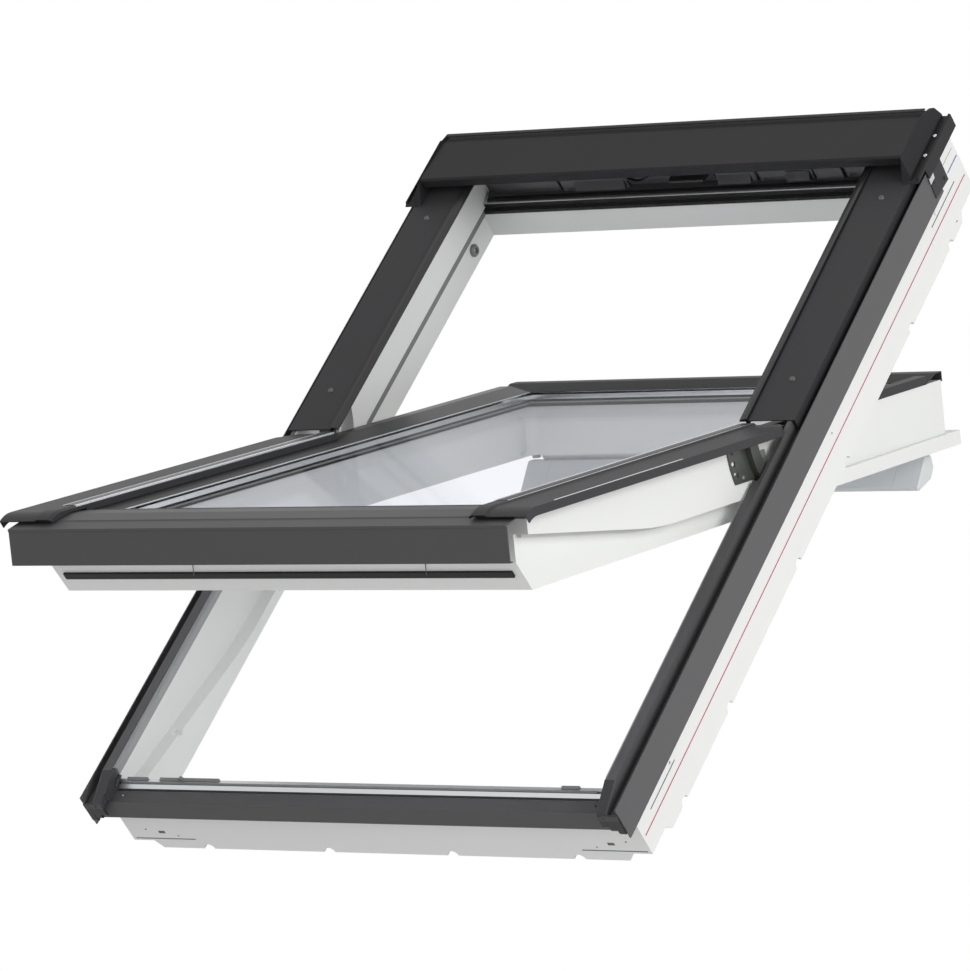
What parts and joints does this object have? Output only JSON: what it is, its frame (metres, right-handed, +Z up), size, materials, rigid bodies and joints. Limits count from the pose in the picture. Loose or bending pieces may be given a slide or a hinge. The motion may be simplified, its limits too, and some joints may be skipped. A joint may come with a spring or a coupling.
{
  "type": "roof skylight",
  "caption": "Centre-pivot roof window in white moulded polyurethane with dark grey aluminium cladding, shown open on its friction hinges.",
  "frame": {"origin": "middle of the lower outer face of the frame, on the red mounting line", "axes": "+X to the right seen from outside, +Y into the roof, +Z up; the frame lies in a 45 degree roof that rises towards +Y"},
  "size_m": [0.8074, 1.1517, 0.943],
  "materials": {
    "white_moulding": "smooth satin polyurethane skin",
    "dark_cladding": "dark grey powder coat",
    "bright_aluminium": "satin anodised",
    "grey_plastic": "matt",
    "black_plastic": "fine grained",
    "rubber_seal": "matt",
    "glass": "clear",
    "hinge_metal": "dark passivated"
  },
  "bodies": {
    "frame": {"frame_sill": "white_moulding", "frame_head": "white_moulding", "frame_jamb_right": "white_moulding", "frame_jamb_left": "white_moulding", "gutter_right": "dark_cladding", "gutter_left": "dark_cladding", "upper_cover_right": "dark_cladding", "upper_cover_left": "dark_cladding", "cover_screws": "hinge_metal", "cover_edge_right": "dark_cladding", "cover_edge_left": "dark_cladding", "jamb_strip_right": "grey_plastic", "jamb_strip_left": "grey_plastic", "jamb_seal_right": "rubber_seal", "jamb_seal_left": "rubber_seal", "head_seal": "rubber_seal", "sill_cladding": "dark_cladding", "sill_rail": "bright_aluminium", "sill_gasket": "rubber_seal", "sill_corner_right": "black_plastic", "sill_corner_left": "black_plastic", "hood": "dark_cladding", "hood_end_right": "black_plastic", "hood_end_left": "black_plastic", "side_plate_right": "dark_cladding", "side_plate_left": "dark_cladding", "head_plate": "dark_cladding", "head_screws": "hinge_metal", "striker": "hinge_metal", "hinge_frame_plate_right": "hinge_metal", "hinge_frame_plate_left": "hinge_metal", "bolt_bush": "hinge_metal"},
    "sash": {"sash_frame": "white_moulding", "inner_pane": "glass", "spacer": "bright_aluminium", "outer_pane": "glass", "inner_glazing_seal": "rubber_seal", "glazing_strip_right": "dark_cladding", "glazing_strip_left": "dark_cladding", "glazing_strip_top": "dark_cladding", "pivot_pad_right": "black_plastic", "pivot_pad_left": "black_plastic", "sash_bottom_cover": "dark_cladding", "bottom_bead": "rubber_seal", "sash_side_cover_right": "dark_cladding", "sash_side_cover_left": "dark_cladding", "side_seal_right": "rubber_seal", "side_seal_left": "rubber_seal", "bottom_seal": "rubber_seal", "hinge_sash_plate_right": "hinge_metal", "hinge_sash_plate_left": "hinge_metal", "lock_case": "hinge_metal"},
    "latch": {"latch_hook": "hinge_metal"},
    "flap": {"ventilation_flap": "grey_plastic", "control_bar": "bright_aluminium", "bar_end_right": "grey_plastic", "bar_end_left": "grey_plastic"},
    "bolt": {"barrel_bolt": "hinge_metal"}
  },
  "joints": [
    {"name": "sash_pivot", "type": "hinge", "parent": "frame", "child": "sash", "pos_m": [0, 0.36692, 0.49971], "axis": [-1, 0, 0], "range_deg": [-36, 125]},
    {"name": "bar_turn", "type": "hinge", "parent": "sash", "child": "flap", "pos_m": [0, 0.88658, 0.46731], "axis": [1, 0, 0], "range_deg": [0, 35]},
    {"name": "latch_turn", "type": "hinge", "parent": "sash", "child": "latch", "pos_m": [0, 0.86699, 0.5207], "axis": [1, 0, 0], "range_deg": [0, 20]},
    {"name": "bolt_slide", "type": "slide", "parent": "sash", "child": "bolt", "axis": [-1, 0, 0], "range_m": [0, 0.0245]}
  ],
  "couplings": [
    {"joint": "latch_turn", "follows": "bar_turn", "ratio": 0.5714}
  ]
}
